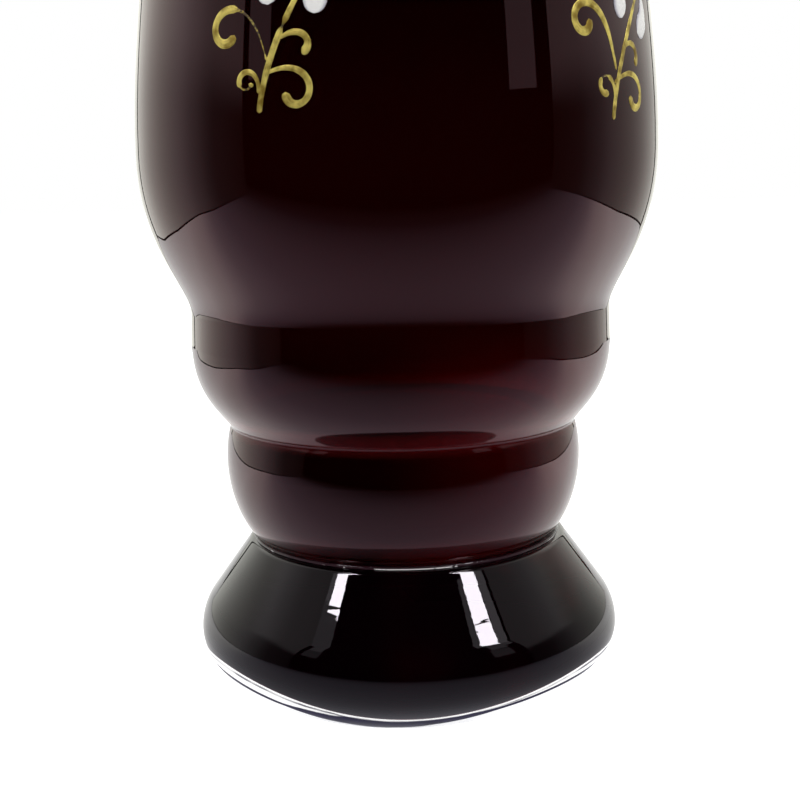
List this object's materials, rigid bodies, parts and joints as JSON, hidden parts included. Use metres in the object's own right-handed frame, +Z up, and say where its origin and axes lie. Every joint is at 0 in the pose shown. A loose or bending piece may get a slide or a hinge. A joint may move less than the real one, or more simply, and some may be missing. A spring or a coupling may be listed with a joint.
{
  "type": "enamelled glass vase",
  "caption": "Footed vase of dark ruby glass with a swelling belly, ringed waist, round-rimmed foot, gold scroll sprays and white enamel flowers.",
  "frame": {"origin": "on the surface the vase stands on, under the middle of the vessel; the foot sits 0.4 mm to its right", "axes": "+Z up along the vase's axis; -Y is the front, between two sprays; +X to the right seen from the front"},
  "size_m": [0.0808, 0.0809, 0.2115],
  "materials": {
    "ruby_glass": "fire-polished, dark ruby",
    "foot_glass": "fire-polished, purple black",
    "seam_glass": "uneven hot seam with fine grit",
    "painted_gold": "brushed-on gold, worn",
    "bright_gold": "burnished gilding, rubbed",
    "white_enamel": "raised glossy enamel",
    "yellow_enamel": "raised glossy enamel"
  },
  "bodies": {
    "root": {"foot": "foot_glass", "join_wafer": "seam_glass", "vessel": "ruby_glass", "lip_gilding": "bright_gold", "gold_scroll_1": "painted_gold", "gold_shoot_1": "painted_gold", "petal_1_1": "white_enamel", "petal_1_2": "white_enamel", "petal_1_3": "white_enamel", "petal_1_4": "white_enamel", "petal_1_5": "white_enamel", "petal_1_6": "white_enamel", "flower_heart_1": "yellow_enamel", "bud_1": "white_enamel", "gold_scroll_2": "painted_gold", "gold_shoot_2": "painted_gold", "petal_2_1": "white_enamel", "petal_2_2": "white_enamel", "petal_2_3": "white_enamel", "petal_2_4": "white_enamel", "petal_2_5": "white_enamel", "petal_2_6": "white_enamel", "flower_heart_2": "yellow_enamel", "bud_2": "white_enamel", "gold_scroll_3": "painted_gold", "gold_shoot_3": "painted_gold", "petal_3_1": "white_enamel", "petal_3_2": "white_enamel", "petal_3_3": "white_enamel", "petal_3_4": "white_enamel", "petal_3_5": "white_enamel", "petal_3_6": "white_enamel", "flower_heart_3": "yellow_enamel", "bud_3": "white_enamel", "gold_scroll_4": "painted_gold", "gold_shoot_4": "painted_gold", "petal_4_1": "white_enamel", "petal_4_2": "white_enamel", "petal_4_3": "white_enamel", "petal_4_4": "white_enamel", "petal_4_5": "white_enamel", "petal_4_6": "white_enamel", "flower_heart_4": "yellow_enamel", "bud_4": "white_enamel", "gold_scroll_5": "painted_gold", "gold_shoot_5": "painted_gold", "petal_5_1": "white_enamel", "petal_5_2": "white_enamel", "petal_5_3": "white_enamel", "petal_5_4": "white_enamel", "petal_5_5": "white_enamel", "petal_5_6": "white_enamel", "flower_heart_5": "yellow_enamel", "bud_5": "white_enamel"}
  },
  "joints": []
}
